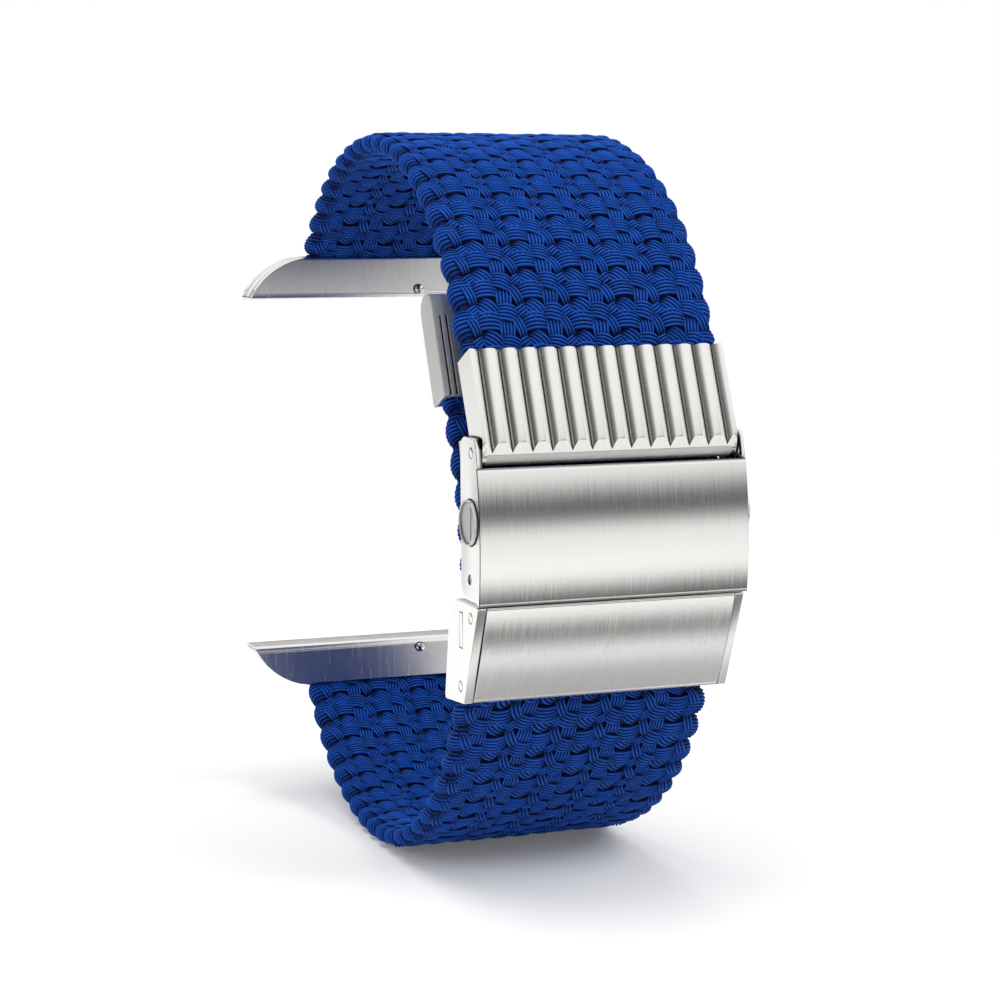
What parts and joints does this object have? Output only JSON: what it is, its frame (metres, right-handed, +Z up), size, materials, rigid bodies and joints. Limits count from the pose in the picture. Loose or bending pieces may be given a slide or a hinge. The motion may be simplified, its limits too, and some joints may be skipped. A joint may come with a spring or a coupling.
{
  "type": "braided watch strap",
  "caption": "Braided textile watch strap in a closed loop, with a ribbed lever clasp, push-button release and slide-in lug connectors.",
  "frame": {"origin": "middle of the part's footprint, at its lowest point", "axes": "+X across the strap, +Y from the clasp to the lug connectors, +Z up"},
  "size_m": [0.0344, 0.055, 0.0656],
  "materials": {
    "braid": "braided royal blue yarn",
    "polished_steel": "polished stainless steel",
    "brushed_steel": "brushed along the strap",
    "plain_steel": "plain satin"
  },
  "bodies": {
    "lower_half": {"lower_strap": "braid", "left_side_plate": "polished_steel", "right_side_plate": "polished_steel", "front_panel": "brushed_steel", "back_plate": "brushed_steel", "bridge_plate": "plain_steel", "catch_studs": "polished_steel", "strap_pin": "polished_steel", "end_crimp": "plain_steel", "lower_connector": "polished_steel", "lower_strap_bar": "plain_steel", "lower_lock_spring": "plain_steel"},
    "lower_lock_body": {"lower_lock": "polished_steel"},
    "upper_half": {"upper_strap": "braid", "tip_clip": "polished_steel", "left_cheek": "polished_steel", "right_cheek": "polished_steel", "front_cover": "brushed_steel", "release_tongue": "plain_steel", "base_plate": "plain_steel", "turn_bar": "plain_steel", "lever_pin": "polished_steel", "cover_screws": "plain_steel", "catch_spring": "plain_steel", "upper_connector": "polished_steel", "upper_strap_bar": "plain_steel", "upper_lock_spring": "plain_steel"},
    "lever_body": {"lever": "polished_steel", "cam_barrel": "brushed_steel"},
    "left_button_body": {"left_button": "polished_steel"},
    "right_button_body": {"right_button": "polished_steel"},
    "upper_lock_body": {"upper_lock": "polished_steel"}
  },
  "joints": [
    {"name": "clasp_release", "type": "slide", "parent": "lower_half", "child": "upper_half", "axis": [0, 0, 1], "range_m": [0, 0.008]},
    {"name": "lever_hinge", "type": "hinge", "parent": "upper_half", "child": "lever_body", "pos_m": [0, -0.02518, 0.03935], "axis": [1, 0, 0], "range_deg": [0, 80]},
    {"name": "left_button_press", "type": "slide", "parent": "upper_half", "child": "left_button_body", "axis": [1, 0, 0], "range_m": [0, 0.0004], "stiffness_N_per_m": 400, "deforming": ["catch_spring"]},
    {"name": "right_button_press", "type": "slide", "parent": "upper_half", "child": "right_button_body", "axis": [-1, 0, 0], "range_m": [0, 0.0004], "stiffness_N_per_m": 400},
    {"name": "upper_lock_press", "type": "slide", "parent": "upper_half", "child": "upper_lock_body", "axis": [0, 1, 0], "range_m": [0, 0.0005], "stiffness_N_per_m": 200, "deforming": ["upper_lock_spring"]},
    {"name": "lower_lock_press", "type": "slide", "parent": "lower_half", "child": "lower_lock_body", "axis": [0, 1, 0], "range_m": [0, 0.0005], "stiffness_N_per_m": 200, "deforming": ["lower_lock_spring"]}
  ]
}
